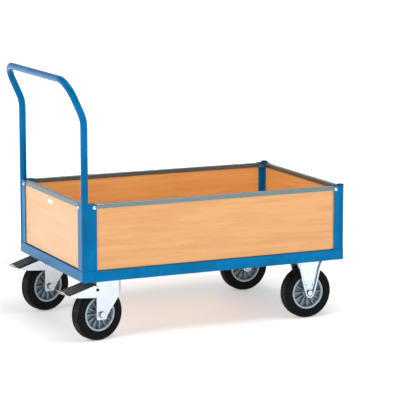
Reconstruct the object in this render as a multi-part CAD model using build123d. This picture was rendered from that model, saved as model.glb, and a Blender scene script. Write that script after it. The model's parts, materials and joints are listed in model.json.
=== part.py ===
from build123d import *
import math
import os

os.makedirs("parts", exist_ok=True)

# Box trolley: a steel platform on two fixed and two braked swivel castors, with four board walls
# and a bent tube push handle. Millimetres, +Z up, floor at z = 0, +X is the direction of travel.

# ---------------------------------------------------------------- platform
frame_length = 1080.0
frame_width = 680.0
frame_leg = 40.0
frame_sheet = 4.0
frame_corner = 10.0
frame_edge = 2.0
deck_thickness = 21.0
deck_gap = 0.5
carrier_length = 160.0
carrier_thickness = 6.0
bearer_length = 40.0
bearer_height = 15.0
bearer_wall = 2.0
pocket_play = 4.5
pocket_depth = 9.0

# ---------------------------------------------------------------- posts, walls and corner profiles
post_diameter = 27.0
post_wall = 2.0
wall_height = 247.0
wall_lift = 3.0
panel_thickness = 15.0
panel_end_gap = 1.0
cap_sheet = 1.5
cap_depth = 16.5
cap_play = 0.2
profile_sheet = 2.0
profile_inset = 3.0
profile_rise = 2.0
profile_play = 0.2
handle_profile_reach = post_diameter + 30.0
front_profile_reach = post_diameter + 18.0
plug_rise = 5.0
plug_depth = 14.0
plug_play = 0.1
plug_edge = 2.0
panel_bolt_diameter = 6.0
panel_bolt_head = 15.0
panel_bolt_dome = 4.5
panel_bolt_drop = 12.0
panel_bolt_edge = 8.4
panel_bolt_tail = 1.0
panel_nut_across = 10.0
panel_nut_height = 5.0
bolt_play = 0.25

# ---------------------------------------------------------------- push handle
handle_wall = 2.0
handle_bend_rise = 558.0
handle_top_rise = 701.0
handle_lean = 65.0
handle_lower_radius = 130.0
handle_corner_radius = 72.0

# ---------------------------------------------------------------- wheels
wheel_radius = 100.0
tyre_width = 50.0
tyre_shoulder = 12.5
tyre_bead = 1.5
rim_radius = 65.0
rim_lip = 3.0
rim_ring = 7.0
rim_half_width = 21.0
rim_lip_thickness = 1.5
rim_web = 5.0
rim_ribs = 12
rim_rib_thickness = 3.0
rim_rib_inset = 4.5
hub_radius = 19.0
hub_side_play = 0.5
bearing_radius = 11.0
axle_diameter = 12.0
running_play = 0.06
snug_play = 0.1

# ---------------------------------------------------------------- castors
castor_rise = 40.0
castor_setback_fixed = 134.0
castor_setback_swivel = 132.0
castor_web_gap = 6.0
castor_trail = 60.0
swivel_rest_left = 12.0
swivel_rest_right = 14.0
tyre_clearance = 4.0
fork_sheet = 4.0
fork_heel = 22.0
fork_toe = 20.0
fork_toe_radius = 8.0
fork_front = 8.0
plate_thickness = 5.0
plate_corner = 12.0
plate_pitch_x = 105.0
plate_margin_x = 17.5
plate_margin_y = 12.5
race_height = 12.0
race_radius = 38.0
race_bore = 17.0
race_edge = 2.5
crown_gap = 0.3
king_pin_diameter = 12.0
king_pin_head = 13.0
king_pin_head_height = 7.4
axle_head_across = 19.0
axle_head_height = 7.5
axle_tail = 2.0
washer_radius = 12.0
washer_height = 2.0
castor_bolt_diameter = 8.0
castor_bolt_across = 13.0
castor_bolt_head = 6.5
castor_bolt_gap = 2.0
castor_nut_height = 8.0
castor_bolt_tail = 1.0
bracket_toe_radius = 18.0
bracket_edge = 5.0
bracket_edge_depth = 8.0
bracket_hole_out = 13.5
bracket_hole_up = 32.0
bracket_hole_radius = 2.5

# ---------------------------------------------------------------- castor brakes
brake_pivot_behind = 19.0
brake_pivot_below_tread = 5.0
brake_press = 12.0
brake_hub = 9.0
brake_gap = 0.4
brake_sheet = 2.0
brake_web_start = 32.0
brake_tip_beyond = 41.0
brake_tip_below_tread = 13.0
brake_slope = 13.0
brake_skirt_front = 26.0
brake_skirt_rear = 108.0
brake_skirt_front_drop = 29.0
brake_skirt_rear_drop = 19.0
brake_tip_drop = 1.5
brake_shoe_start = 41.0
brake_shoe_length = 18.0
brake_shoe_width = 28.0
brake_shoe_depth = 18.0
brake_shoe_gap = 0.5
rivet_diameter = 7.0
rivet_head = 5.5
rivet_head_height = 2.0
pedal_thickness = 7.0
pedal_overhang = 0.6
pedal_corner = 6.0
pedal_edge = 1.0
pedal_bars = 9
pedal_bar_height = 0.8
blade_length = 34.0
blade_width = 34.0
blade_sheet = 2.5
blade_tilt = 28.0
blade_overlap = 6.0

# ---------------------------------------------------------------- values that follow from these
castor_height = 2 * wheel_radius + castor_rise
deck_bottom = castor_height + carrier_thickness
frame_top = deck_bottom + deck_thickness
frame_bottom = frame_top - frame_leg
half_length = frame_length / 2
half_width = frame_width / 2
opening_x = half_length - frame_leg
opening_y = half_width - frame_leg
web_face_x = half_length - frame_sheet
web_face_y = half_width - frame_sheet
post_radius = post_diameter / 2
post_x = half_length - post_radius
post_y = half_width - post_radius
wall_top = frame_top + wall_height
profile_top = wall_top + profile_rise
cap_outer = profile_inset + profile_sheet + profile_play
cap_width = panel_thickness + 2 * (cap_play + cap_sheet)
inner_flange = cap_outer + cap_width + profile_play
inner_face = inner_flange + profile_sheet
panel_outer = cap_outer + cap_sheet + cap_play
web_start = post_diameter + profile_play
web_end = web_start + profile_sheet
wheel_z = wheel_radius
tyre_seat = rim_radius - rim_lip
fork_inner = tyre_width / 2 + tyre_clearance
fork_outer = fork_inner + fork_sheet
hub_half = fork_inner - hub_side_play
nut_corner = castor_bolt_across / math.sqrt(3)
plate_pitch_y = 2 * (fork_outer + nut_corner + castor_bolt_gap)
plate_length = plate_pitch_x + 2 * plate_margin_x
plate_width = plate_pitch_y + 2 * plate_margin_y
plate_bottom = castor_height - plate_thickness
race_bottom = plate_bottom - race_height
crown_top = race_bottom - crown_gap
crown_bottom = crown_top - fork_sheet
pin_head_top = crown_bottom - crown_gap
castor_y = web_face_y - castor_web_gap - plate_width / 2
fixed_x = half_length - castor_setback_fixed
swivel_x = castor_setback_swivel - half_length
brake_x = -castor_trail - brake_pivot_behind
brake_z = 2 * wheel_radius - brake_pivot_below_tread
brake_inner = fork_outer + brake_gap
brake_outer = brake_inner + brake_sheet
brake_tip = wheel_radius + brake_tip_beyond

CORNERS = [
    ("handle_left", -1, -1, handle_profile_reach),
    ("handle_right", -1, 1, handle_profile_reach),
    ("front_left", 1, -1, front_profile_reach),
    ("front_right", 1, 1, front_profile_reach),
]
SIDES = [("left", -1), ("right", 1)]
ENDS = [("handle", -1), ("front", 1)]
SWIVEL_REST = {"left": swivel_rest_left, "right": swivel_rest_right}
PLATE_HOLES = [(sx * plate_pitch_x / 2, sy * plate_pitch_y / 2) for sx in (-1, 1) for sy in (-1, 1)]
shapes = {}


# ---------------------------------------------------------------- small shape helpers
def block(xs, ys, zs):
    """A box between two values on each axis, given in either order."""
    spans = [(min(pair), max(pair)) for pair in (xs, ys, zs)]
    middle = [(low + high) / 2 for low, high in spans]
    return Pos(*middle) * Box(*[high - low for low, high in spans])


def rod(radius, start, end):
    """A round bar from one point to another."""
    line = Vector(*end) - Vector(*start)
    return extrude(Plane(origin=start, z_dir=line.normalized()) * Circle(radius), line.length)


def hexagon(across, start, end):
    """A hexagon bar from one point to another, by its size across flats."""
    line = Vector(*end) - Vector(*start)
    flat = RegularPolygon(across / 2, 6, major_radius=False)
    return extrude(Plane(origin=start, z_dir=line.normalized()) * flat, line.length)


def side_plate(outline, y0, y1):
    """A plate from y0 to y1 whose outline is a closed set of lines in the XZ plane."""
    face = make_face(outline)
    return Pos(0, min(y0, y1), 0) * extrude(face, abs(y1 - y0), dir=(0, 1, 0))


def xz(points):
    """Points of the XZ plane from (x, z) pairs."""
    return [(x, 0, z) for x, z in points]


def washer_ring(outer, inner, y0, y1):
    """A ring along Y, round the origin."""
    return rod(outer, (0, y0, 0), (0, y1, 0)) - rod(inner, (0, y0, 0), (0, y1, 0))


# ---------------------------------------------------------------- base frame: mitred angle iron
ring = Pos(0, 0, frame_bottom) * extrude(RectangleRounded(frame_length, frame_width, frame_corner), frame_leg)
ring = fillet(ring.edges().group_by(Axis.Z)[-1] + ring.edges().group_by(Axis.Z)[0], frame_edge)
ring -= block((-web_face_x, web_face_x), (-web_face_y, web_face_y), (frame_bottom, frame_top - frame_sheet))
ring -= block((-opening_x, opening_x), (-opening_y, opening_y), (frame_bottom, frame_top))


def mitred(corners):
    """The part of the frame ring inside one mitred outline."""
    mask = make_face(Polyline(corners, close=True))
    return ring & (Pos(0, 0, frame_bottom) * extrude(mask, frame_leg))


for side, sign in SIDES:
    far = sign * half_width
    near = sign * opening_y
    corners = [(-half_length, far), (half_length, far), (opening_x, near), (-opening_x, near)]
    shapes[f"frame_side_{side}"] = mitred(corners)
for end, sign in ENDS:
    far = sign * half_length
    near = sign * opening_x
    corners = [(far, -half_width), (far, half_width), (near, opening_y), (near, -opening_y)]
    shapes[f"frame_end_{end}"] = mitred(corners)

# ---------------------------------------------------------------- carriers, centre bearer and deck board
castor_spots = [(x, sign * castor_y) for x in (swivel_x, fixed_x) for _, sign in SIDES]
bolt_spots = [(x + dx, y + dy) for x, y in castor_spots for dx, dy in PLATE_HOLES]
for end, x in (("handle", swivel_x), ("front", fixed_x)):
    span = (x - carrier_length / 2, x + carrier_length / 2)
    carrier = block(span, (-web_face_y, web_face_y), (castor_height, deck_bottom))
    for bolt_x, bolt_y in bolt_spots:
        hole = rod(castor_bolt_diameter / 2 + bolt_play, (bolt_x, bolt_y, castor_height), (bolt_x, bolt_y, deck_bottom))
        carrier -= hole
    shapes[f"castor_carrier_{end}"] = carrier

bearer_tube = Rectangle(bearer_length, bearer_height)
bearer_tube -= Rectangle(bearer_length - 2 * bearer_wall, bearer_height - 2 * bearer_wall)
bearer_plane = Plane(origin=(0, -web_face_y, deck_bottom - bearer_height / 2), x_dir=(1, 0, 0), z_dir=(0, 1, 0))
shapes["centre_bearer"] = extrude(bearer_plane * bearer_tube, 2 * web_face_y)

deck_x = opening_x - deck_gap
deck_y = opening_y - deck_gap
deck = block((-deck_x, deck_x), (-deck_y, deck_y), (deck_bottom, frame_top))
for bolt_x, bolt_y in bolt_spots:
    pocket = rod(nut_corner + pocket_play, (bolt_x, bolt_y, deck_bottom), (bolt_x, bolt_y, deck_bottom + pocket_depth))
    if abs(bolt_y) < deck_y:
        deck -= pocket
shapes["deck_board"] = deck

castor_bolts = []
castor_nuts = []
for x, y in bolt_spots:
    head_top = deck_bottom + castor_bolt_head
    nut_low = plate_bottom - castor_nut_height
    shank = rod(castor_bolt_diameter / 2, (x, y, nut_low - castor_bolt_tail), (x, y, deck_bottom))
    castor_bolts.append(shank + hexagon(castor_bolt_across, (x, y, deck_bottom), (x, y, head_top)))
    nut = hexagon(castor_bolt_across, (x, y, nut_low), (x, y, plate_bottom))
    castor_nuts.append(nut - rod(castor_bolt_diameter / 2, (x, y, nut_low), (x, y, plate_bottom)))
shapes["castor_bolts"] = Compound(castor_bolts)
shapes["castor_nuts"] = Compound(castor_nuts)


# ---------------------------------------------------------------- wall panels and their folded steel caps
def wall_layer(sign, along_x, depth, heights):
    """A bar along one wall, between two depths behind the frame's outer face."""
    if along_x:
        half = half_length - web_end - panel_end_gap
        return block((-half, half), [sign * (half_width - value) for value in depth], heights)
    half = half_width - web_end - panel_end_gap
    return block([sign * (half_length - value) for value in depth], (-half, half), heights)


for wall, sign, along_x in [(*side, True) for side in SIDES] + [(*end, False) for end in ENDS]:
    panel_depth = (panel_outer, panel_outer + panel_thickness)
    slot_depth = (cap_outer + cap_sheet, cap_outer + cap_width - cap_sheet)
    panel_heights = (frame_top + wall_lift, wall_top - cap_sheet - cap_play)
    cap = wall_layer(sign, along_x, (cap_outer, cap_outer + cap_width), (wall_top - cap_depth, wall_top))
    slot = wall_layer(sign, along_x, slot_depth, (wall_top - cap_depth, wall_top - cap_sheet))
    shapes[f"wall_panel_{wall}"] = wall_layer(sign, along_x, panel_depth, panel_heights)
    shapes[f"wall_cap_{wall}"] = cap - slot


# ---------------------------------------------------------------- corner profiles: folded channels
def corner_profile(sx, sy, reach):
    """Two folded channels that hold the ends of two walls, joined behind the post."""

    def strip(depth_x, depth_y):
        xs = [sx * (half_length - depth) for depth in depth_x]
        ys = [sy * (half_width - depth) for depth in depth_y]
        return block(xs, ys, (frame_top, profile_top))

    outside = (profile_inset, profile_inset + profile_sheet)
    inside = (inner_flange, inner_face)
    web = (web_start, web_end)
    profile = strip((post_radius, reach), outside) + strip(outside, (post_radius, reach))
    profile += strip((inner_flange, reach), inside) + strip(inside, (inner_flange, reach))
    profile += strip(web, (profile_inset, web_end)) + strip((profile_inset, web_end), web)
    profile += strip((inner_flange, web_end), (inner_flange, web_end))
    post = (sx * post_x, sy * post_y)
    return profile - rod(post_radius, (*post, frame_top), (*post, profile_top))


def dome(face, outward):
    """A low domed bolt head standing on a face."""
    radius = (panel_bolt_head**2 / 4 + panel_bolt_dome**2) / (2 * panel_bolt_dome)
    ball = Pos(0, 0, panel_bolt_dome - radius) * Sphere(radius)
    above = block((-radius, radius), (-radius, radius), (0, radius))
    return Plane(origin=face, z_dir=outward).location * (ball & above)


panel_bolts = []
panel_nuts = []
for corner, sx, sy, reach in CORNERS:
    profile = corner_profile(sx, sy, reach)
    bolt_z = wall_top - panel_bolt_drop
    side_x = sx * (half_length - reach + panel_bolt_edge)
    end_y = sy * (half_width - reach + panel_bolt_edge)
    side_wall = "left" if sy < 0 else "right"
    end_wall = "handle" if sx < 0 else "front"
    side_bolt = (side_wall, Vector(side_x, sy * half_width, bolt_z), Vector(0, sy, 0))
    end_bolt = (end_wall, Vector(sx * half_length, end_y, bolt_z), Vector(sx, 0, 0))
    for wall, spot, outward in (side_bolt, end_bolt):
        face = spot - outward * profile_inset
        back = spot - outward * inner_face
        nut_end = back - outward * panel_nut_height
        shank = rod(panel_bolt_diameter / 2, nut_end - outward * panel_bolt_tail, face)
        panel_bolts.append(dome(face, outward) + shank)
        nut = hexagon(panel_nut_across, nut_end, back)
        panel_nuts.append(nut - rod(panel_bolt_diameter / 2, nut_end, back))
        hole = rod(panel_bolt_diameter / 2 + bolt_play, back, face)
        profile -= hole
        shapes[f"wall_panel_{wall}"] -= hole
        shapes[f"wall_cap_{wall}"] -= hole
    shapes[f"corner_profile_{corner}"] = profile
shapes["panel_bolts"] = Compound(panel_bolts)
shapes["panel_nuts"] = Compound(panel_nuts)

# ---------------------------------------------------------------- front posts and their plugs
plugs = []
for side, sign in SIDES:
    foot = (post_x, sign * post_y, frame_top)
    top = (post_x, sign * post_y, profile_top)
    shapes[f"front_post_{side}"] = rod(post_radius, foot, top) - rod(post_radius - post_wall, foot, top)
    crown = rod(post_radius, top, (post_x, sign * post_y, profile_top + plug_rise))
    crown = fillet(crown.edges().group_by(Axis.Z)[-1], plug_edge)
    stem = rod(post_radius - post_wall - plug_play, (post_x, sign * post_y, profile_top - plug_depth), top)
    plugs.append(crown + stem)
shapes["post_plugs"] = Compound(plugs)

# ---------------------------------------------------------------- push handle: one bent tube
bend_z = frame_top + handle_bend_rise
bar_z = frame_top + handle_top_rise
bar_x = -post_x - handle_lean
handle_path = FilletPolyline(
    (-post_x, -post_y, frame_top),
    (-post_x, -post_y, bend_z),
    (bar_x, -post_y, bar_z),
    (bar_x, post_y, bar_z),
    (-post_x, post_y, bend_z),
    (-post_x, post_y, frame_top),
    radius=(handle_lower_radius, handle_corner_radius, handle_corner_radius, handle_lower_radius),
)
handle_tube = Circle(post_radius) - Circle(post_radius - handle_wall)
shapes["push_handle"] = sweep(Plane(origin=(-post_x, -post_y, frame_top)) * handle_tube, path=handle_path)


# ---------------------------------------------------------------- wheel parts, round the origin along Y
def tyre_shape():
    """Solid rubber tyre with rounded shoulders, seated between the rim's lips."""
    half = tyre_width / 2
    seat = rim_half_width - rim_lip_thickness
    points = [
        (tyre_seat, -seat), (rim_radius + tyre_bead, -seat), (rim_radius + 2 * tyre_bead, -half),
        (wheel_radius, -half), (wheel_radius, half), (rim_radius + 2 * tyre_bead, half),
        (rim_radius + tyre_bead, seat), (tyre_seat, seat),
    ]
    rounding = (1.0, 1.0, tyre_shoulder, tyre_shoulder, 1.0, 1.0)
    side = FilletPolyline(*[(r, y, 0) for r, y in points], radius=rounding)
    closing = Line((tyre_seat, seat, 0), (tyre_seat, -seat, 0))
    return revolve(make_face(side + closing), Axis.Y)


def rim_shape():
    """Moulded rim: hub, web, ribs on both sides, and a barrel with a lip each side."""
    inner = rim_radius - rim_ring
    rim = washer_ring(tyre_seat, inner, -rim_half_width, rim_half_width)
    for sign in (-1, 1):
        rim += washer_ring(rim_radius, inner, sign * (rim_half_width - rim_lip_thickness), sign * rim_half_width)
    rim += rod(hub_radius, (0, -hub_half, 0), (0, hub_half, 0))
    rim += rod(inner + rim_lip_thickness, (0, -rim_web / 2, 0), (0, rim_web / 2, 0))
    rib_half = rim_half_width - rim_rib_inset
    rib_thickness = (-rim_rib_thickness / 2, rim_rib_thickness / 2)
    rib = block((hub_radius - rim_lip_thickness, inner + rim_lip_thickness), (-rib_half, rib_half), rib_thickness)
    for index in range(rim_ribs):
        rim += Rot(0, 360 * index / rim_ribs, 0) * rib
    return rim - rod(bearing_radius, (0, -hub_half, 0), (0, hub_half, 0))


def axle_shape():
    """Axle bolt with a washer under its head, and a washer and nut at the far leg."""
    washer_end = fork_outer + washer_height
    head_end = washer_end + axle_head_height
    bolt = rod(axle_diameter / 2, (0, -washer_end, 0), (0, head_end + axle_tail, 0))
    bolt += hexagon(axle_head_across, (0, -head_end, 0), (0, -washer_end, 0))
    bolt += rod(washer_radius, (0, -washer_end, 0), (0, -fork_outer, 0))
    nut = hexagon(axle_head_across, (0, washer_end, 0), (0, head_end, 0))
    nut += rod(washer_radius, (0, fork_outer, 0), (0, washer_end, 0))
    nut -= rod(axle_diameter / 2, (0, fork_outer, 0), (0, head_end, 0))
    return Compound([bolt, nut])


WHEEL_PARTS = {
    "tyre": tyre_shape(),
    "rim": rim_shape(),
    "hub_bearing": washer_ring(bearing_radius, axle_diameter / 2 + running_play, -hub_half, hub_half),
    "axle_bolt": axle_shape(),
}


def plate_blank():
    """Castor top plate with its four bolt holes."""
    plate = extrude(RectangleRounded(plate_length, plate_width, plate_corner), plate_thickness)
    plate = Pos(0, 0, plate_bottom) * plate
    for dx, dy in PLATE_HOLES:
        plate -= rod(castor_bolt_diameter / 2 + bolt_play, (dx, dy, plate_bottom), (dx, dy, castor_height))
    return plate


# ---------------------------------------------------------------- swivel castor, pivot on the Z axis
def fork_outline():
    """Side view of the fork: upright at the back, raked in a curve at the front."""
    back = -castor_trail - fork_heel
    toe = wheel_z - fork_toe
    reach = castor_trail + fork_front + fork_outer
    rise = crown_top - wheel_z
    toe_front = (-castor_trail + fork_heel, 0, toe + fork_toe_radius)
    toe_line = FilletPolyline(
        (back, 0, crown_top), (back, 0, toe), (-castor_trail + fork_heel, 0, toe), toe_front,
        radius=fork_toe_radius * 0.9,
    )
    rake = [(0.54, 0.26), (0.79, 0.54), (0.91, 0.73), (1.0, 0.92)]
    curve = [(-castor_trail + reach * along, 0, wheel_z + rise * up) for along, up in rake]
    top = (curve[-1][0], 0, crown_top)
    return toe_line + Spline(toe_front, *curve) + Polyline(curve[-1], top, (back, 0, crown_top))


def fork_plan(half_gap):
    """Plan view of the fork: two straight legs joined by a half round front."""
    back = -castor_trail - fork_heel
    legs = Pos((back + fork_front) / 2, 0) * Rectangle(fork_front - back, 2 * half_gap)
    return legs + Pos(fork_front, 0) * Circle(half_gap)


def fork_shape():
    """Fork pressed from sheet: two legs, a wrapped front and a crown plate under the ball race."""
    toe = wheel_z - fork_toe
    back = -castor_trail - fork_heel
    solid = Pos(0, 0, toe) * extrude(fork_plan(fork_outer), crown_top - toe)
    inside = Pos(0, 0, toe) * extrude(fork_plan(fork_inner), crown_bottom - toe)
    fork = (solid - inside) & side_plate(fork_outline(), -fork_outer, fork_outer)
    fork -= rod(king_pin_diameter / 2 + running_play, (0, 0, crown_bottom), (0, 0, crown_top))
    axle_ends = [(-castor_trail, sign * fork_outer, wheel_z) for sign in (-1, 1)]
    fork -= rod(axle_diameter / 2 + snug_play, *axle_ends)
    rivet_ends = [(brake_x, sign * fork_outer, brake_z) for sign in (-1, 1)]
    return fork - rod(rivet_diameter / 2 + snug_play, *rivet_ends)


def king_pin_shape():
    """King pin through plate, race and crown, with the head that carries the fork."""
    pin = rod(king_pin_diameter / 2, (0, 0, pin_head_top), (0, 0, castor_height))
    return pin + rod(king_pin_head, (0, 0, pin_head_top - king_pin_head_height), (0, 0, pin_head_top))


def race_shape():
    """Closed ball race under the plate."""
    race = rod(race_radius, (0, 0, race_bottom), (0, 0, plate_bottom))
    race = fillet(race.edges().group_by(Axis.Z)[0], race_edge)
    return race - rod(race_bore, (0, 0, race_bottom), (0, 0, plate_bottom))


def rivets_shape():
    """Two short rivets, one through each fork leg and brake lever side."""
    rivets = []
    for sign in (-1, 1):
        inner = (brake_x, sign * fork_inner, brake_z)
        outer = (brake_x, sign * brake_outer, brake_z)
        cap = (brake_x, sign * (brake_outer + rivet_head_height), brake_z)
        gap = (brake_x, sign * (brake_outer + running_play), brake_z)
        rivets.append(rod(rivet_diameter / 2, inner, cap) + rod(rivet_head, gap, cap))
    return Compound(rivets)


# ---------------------------------------------------------------- brake lever and pedal
def web_line(behind, lift=0.0):
    """A point (x, z) on the lever's sloping top, by its distance behind the axle."""
    rise = (brake_tip - behind) * math.tan(math.radians(brake_slope))
    return (-castor_trail - behind, 2 * wheel_radius - brake_tip_below_tread + rise + lift)


def brake_shoe():
    """Block under the lever's top, hollowed to the tyre it meets when the pedal is down."""
    start_x, start_z = web_line(brake_shoe_start, -brake_sheet / 2)
    end_x, end_z = web_line(brake_shoe_start + brake_shoe_length, -brake_sheet / 2)
    floor = start_z - brake_shoe_depth
    outline = Polyline(*xz([(start_x, start_z), (end_x, end_z), (end_x, floor), (start_x, floor)]), close=True)
    shoe = side_plate(outline, -brake_shoe_width / 2, brake_shoe_width / 2)
    hinge = Pos(brake_x, 0, brake_z)
    tread = rod(
        wheel_radius + brake_shoe_gap,
        (-castor_trail - brake_x, -tyre_width, wheel_z - brake_z),
        (-castor_trail - brake_x, tyre_width, wheel_z - brake_z),
    )
    return shoe - hinge * Rot(0, brake_press, 0) * tread


def lever_shape():
    """Folded lever: two side plates hung on the fork, a sloping top, a shoe and a lifting blade."""
    tip = web_line(brake_tip)
    front = web_line(brake_web_start)
    rear_low = web_line(brake_skirt_rear, -brake_skirt_rear_drop)
    front_low = (-castor_trail - brake_skirt_front, brake_z - brake_skirt_front_drop)
    hub_x = brake_x + brake_hub
    points = [
        tip, front, (hub_x, brake_z + brake_hub), (hub_x, brake_z - brake_hub),
        front_low, rear_low, (tip[0], tip[1] - brake_tip_drop),
    ]
    lever = side_plate(Polyline(*xz(points), close=True), -brake_outer, brake_outer)
    lever -= block((tip[0] - brake_sheet, hub_x), (-brake_inner, brake_inner), (front_low[1], crown_top))
    top = [tip, front, web_line(brake_web_start, -brake_sheet), web_line(brake_tip, -brake_sheet)]
    lever += side_plate(Polyline(*xz(top), close=True), -brake_outer, brake_outer)
    lever += brake_shoe()
    blade_x, blade_z = web_line(brake_tip - blade_overlap, -blade_sheet / 2)
    blade = Pos(-blade_length / 2, 0, 0) * Box(blade_length, blade_width, blade_sheet)
    lever += Pos(blade_x, 0, blade_z) * Rot(0, blade_tilt, 0) * blade
    hole_ends = [(brake_x, sign * brake_outer, brake_z) for sign in (-1, 1)]
    return lever - rod(rivet_diameter / 2 + running_play, *hole_ends)


def pedal_shape():
    """Moulded tread on the lever's top, with cross bars for grip."""
    half = brake_outer + pedal_overhang
    tip = web_line(brake_tip)
    front = web_line(brake_web_start)
    length = math.dist(tip, front)
    pedal = extrude(RectangleRounded(length, 2 * half, pedal_corner), pedal_thickness)
    pedal = fillet(pedal.edges().group_by(Axis.Z)[-1], pedal_edge)
    pitch = length / (pedal_bars + 1)
    bar = Box(pitch / 2, 2 * (half - pedal_corner), 2 * pedal_bar_height)
    for index in range(pedal_bars):
        pedal += Pos((index - (pedal_bars - 1) / 2) * pitch, 0, pedal_thickness) * bar
    middle_x, middle_z = [(a + b) / 2 for a, b in zip(tip, front)]
    pedal = Pos(middle_x, 0, middle_z) * Rot(0, -brake_slope, 0) * pedal
    lifted = block((tip[0] - blade_length, tip[0] + blade_length), (-blade_width, blade_width), (0, middle_z))
    return pedal - (lifted & (lever_shape()))


SWIVEL_FIXED_PARTS = {
    "plate": plate_blank() - rod(king_pin_diameter / 2, (0, 0, plate_bottom), (0, 0, castor_height)),
    "ball_race": race_shape(),
    "king_pin": king_pin_shape(),
}
SWIVEL_TURNED_PARTS = {
    "fork": fork_shape(),
    "brake_rivets": rivets_shape(),
    "brake_lever": lever_shape(),
    "brake_pedal": pedal_shape(),
}
for side, sign in SIDES:
    place = Pos(swivel_x, sign * castor_y, 0)
    turn = place * Rot(0, 0, SWIVEL_REST[side])
    for part, shape in SWIVEL_FIXED_PARTS.items():
        shapes[f"swivel_{side}_{part}"] = place * shape
    for part, shape in SWIVEL_TURNED_PARTS.items():
        shapes[f"swivel_{side}_{part}"] = turn * shape
    for part, shape in WHEEL_PARTS.items():
        shapes[f"swivel_{side}_{part}"] = turn * Pos(-castor_trail, 0, wheel_z) * shape


# ---------------------------------------------------------------- fixed castor, axle under the plate centre
def bracket_outline(trim):
    """Side view of a bracket leg, taken in by the trim: rounded at the axle, flared to the plate."""
    height = plate_bottom - wheel_z
    radius = bracket_toe_radius - trim
    flare = [(1.5, 0.185), (2.0, 0.46), (3.39, 1.0)]
    steps = [(radius, wheel_z)]
    steps += [(bracket_toe_radius * out - trim, wheel_z + height * up) for out, up in flare]
    right = Spline(*xz(steps))
    left = Spline(*xz([(-x, z) for x, z in reversed(steps)]))
    top = Line(right @ 1, left @ 0)
    toe = ThreePointArc(left @ 1, (0, 0, wheel_z - radius), right @ 0)
    return right + top + left + toe


def bracket_shape():
    """Fixed bracket pressed in one piece: plate, two legs, and an outward rim round each leg."""
    bracket = plate_blank()
    bore_ends = [(0, sign * fork_outer, wheel_z) for sign in (-1, 1)]
    for sign in (-1, 1):
        bracket += side_plate(bracket_outline(0), sign * fork_inner, sign * fork_outer)
        rim_end = sign * (fork_outer + bracket_edge_depth)
        edge = side_plate(bracket_outline(0), sign * fork_outer, rim_end)
        edge -= side_plate(bracket_outline(bracket_edge), sign * fork_outer, rim_end)
        lowest = wheel_z - bracket_toe_radius
        keep = block((-plate_length, plate_length), (-plate_width, plate_width), (lowest, crown_top))
        bracket += edge & keep
    for hole_x in (-bracket_hole_out, bracket_hole_out):
        hole_z = wheel_z + bracket_hole_up
        bracket -= rod(bracket_hole_radius, *[(hole_x, sign * fork_outer, hole_z) for sign in (-1, 1)])
    return bracket - rod(axle_diameter / 2 + snug_play, *bore_ends)


for side, sign in SIDES:
    place = Pos(fixed_x, sign * castor_y, 0)
    shapes[f"fixed_{side}_bracket"] = place * bracket_shape()
    for part, shape in WHEEL_PARTS.items():
        shapes[f"fixed_{side}_{part}"] = place * Pos(0, 0, wheel_z) * shape

# ---------------------------------------------------------------- origin under the middle of the envelope
envelope = Compound(list(shapes.values())).bounding_box()
centre = Pos(-(envelope.min.X + envelope.max.X) / 2, -(envelope.min.Y + envelope.max.Y) / 2, -envelope.min.Z)
for name, shape in shapes.items():
    export_step(centre * shape, f"parts/{name}.step")
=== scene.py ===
import json
import math

import bmesh
import bpy
from mathutils import Matrix, Vector


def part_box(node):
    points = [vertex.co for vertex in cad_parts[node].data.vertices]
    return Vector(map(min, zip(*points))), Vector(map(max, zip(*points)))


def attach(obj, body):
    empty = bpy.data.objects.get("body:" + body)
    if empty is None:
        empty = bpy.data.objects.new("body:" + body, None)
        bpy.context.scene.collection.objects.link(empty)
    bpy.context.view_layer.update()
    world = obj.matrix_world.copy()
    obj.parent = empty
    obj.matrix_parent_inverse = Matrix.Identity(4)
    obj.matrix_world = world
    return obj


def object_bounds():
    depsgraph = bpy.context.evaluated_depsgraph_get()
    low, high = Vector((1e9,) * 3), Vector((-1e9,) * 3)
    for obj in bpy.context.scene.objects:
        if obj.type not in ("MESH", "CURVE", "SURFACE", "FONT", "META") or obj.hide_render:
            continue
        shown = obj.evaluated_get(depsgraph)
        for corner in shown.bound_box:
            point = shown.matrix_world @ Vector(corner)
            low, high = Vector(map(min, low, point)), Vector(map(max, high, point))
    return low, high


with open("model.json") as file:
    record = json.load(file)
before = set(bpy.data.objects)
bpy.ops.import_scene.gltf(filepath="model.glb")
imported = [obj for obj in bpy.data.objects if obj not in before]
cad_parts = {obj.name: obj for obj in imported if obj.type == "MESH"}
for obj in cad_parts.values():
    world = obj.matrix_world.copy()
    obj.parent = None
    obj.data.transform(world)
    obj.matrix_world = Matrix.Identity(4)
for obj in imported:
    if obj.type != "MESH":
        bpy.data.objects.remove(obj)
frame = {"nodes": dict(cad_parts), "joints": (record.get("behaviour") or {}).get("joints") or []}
size_at_load = [list(corner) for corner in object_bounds()]


# ------------------------------------------------------------------ frame, corner profiles and tubes
# The frame is rolled steel angle with pressed carriers and a bearer, and carries folded corner
# profiles, two front posts and a bent tube handle. It is all welded up, shot-blasted and powder
# coated in a mid blue, with a faint orange peel and rubbed patches along its edges, and carries a
# painted highlight along its edges and painted shade in its corners.
def new_effect(name, inputs, outputs):
    """An empty node group; inputs are (name, kind, default) and outputs are (name, kind)."""
    group = bpy.data.node_groups.new(name, "ShaderNodeTree")
    for socket, kind, value in inputs:
        made = group.interface.new_socket(name=socket, in_out="INPUT", socket_type=kind)
        if value is not None:
            made.default_value = value
    for socket, kind in outputs:
        group.interface.new_socket(name=socket, in_out="OUTPUT", socket_type=kind)
    return group, group.nodes.new("NodeGroupInput"), group.nodes.new("NodeGroupOutput")


def add_math(tree, operation, first, second=None, third=None, clamp=False):
    """A maths node whose inputs are sockets or plain numbers."""
    made = tree.nodes.new("ShaderNodeMath")
    made.operation = operation
    made.use_clamp = clamp
    for index, value in enumerate((first, second, third)):
        if isinstance(value, bpy.types.NodeSocket):
            tree.links.new(value, made.inputs[index])
        elif value is not None:
            made.inputs[index].default_value = value
    return made.outputs[0]


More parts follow.
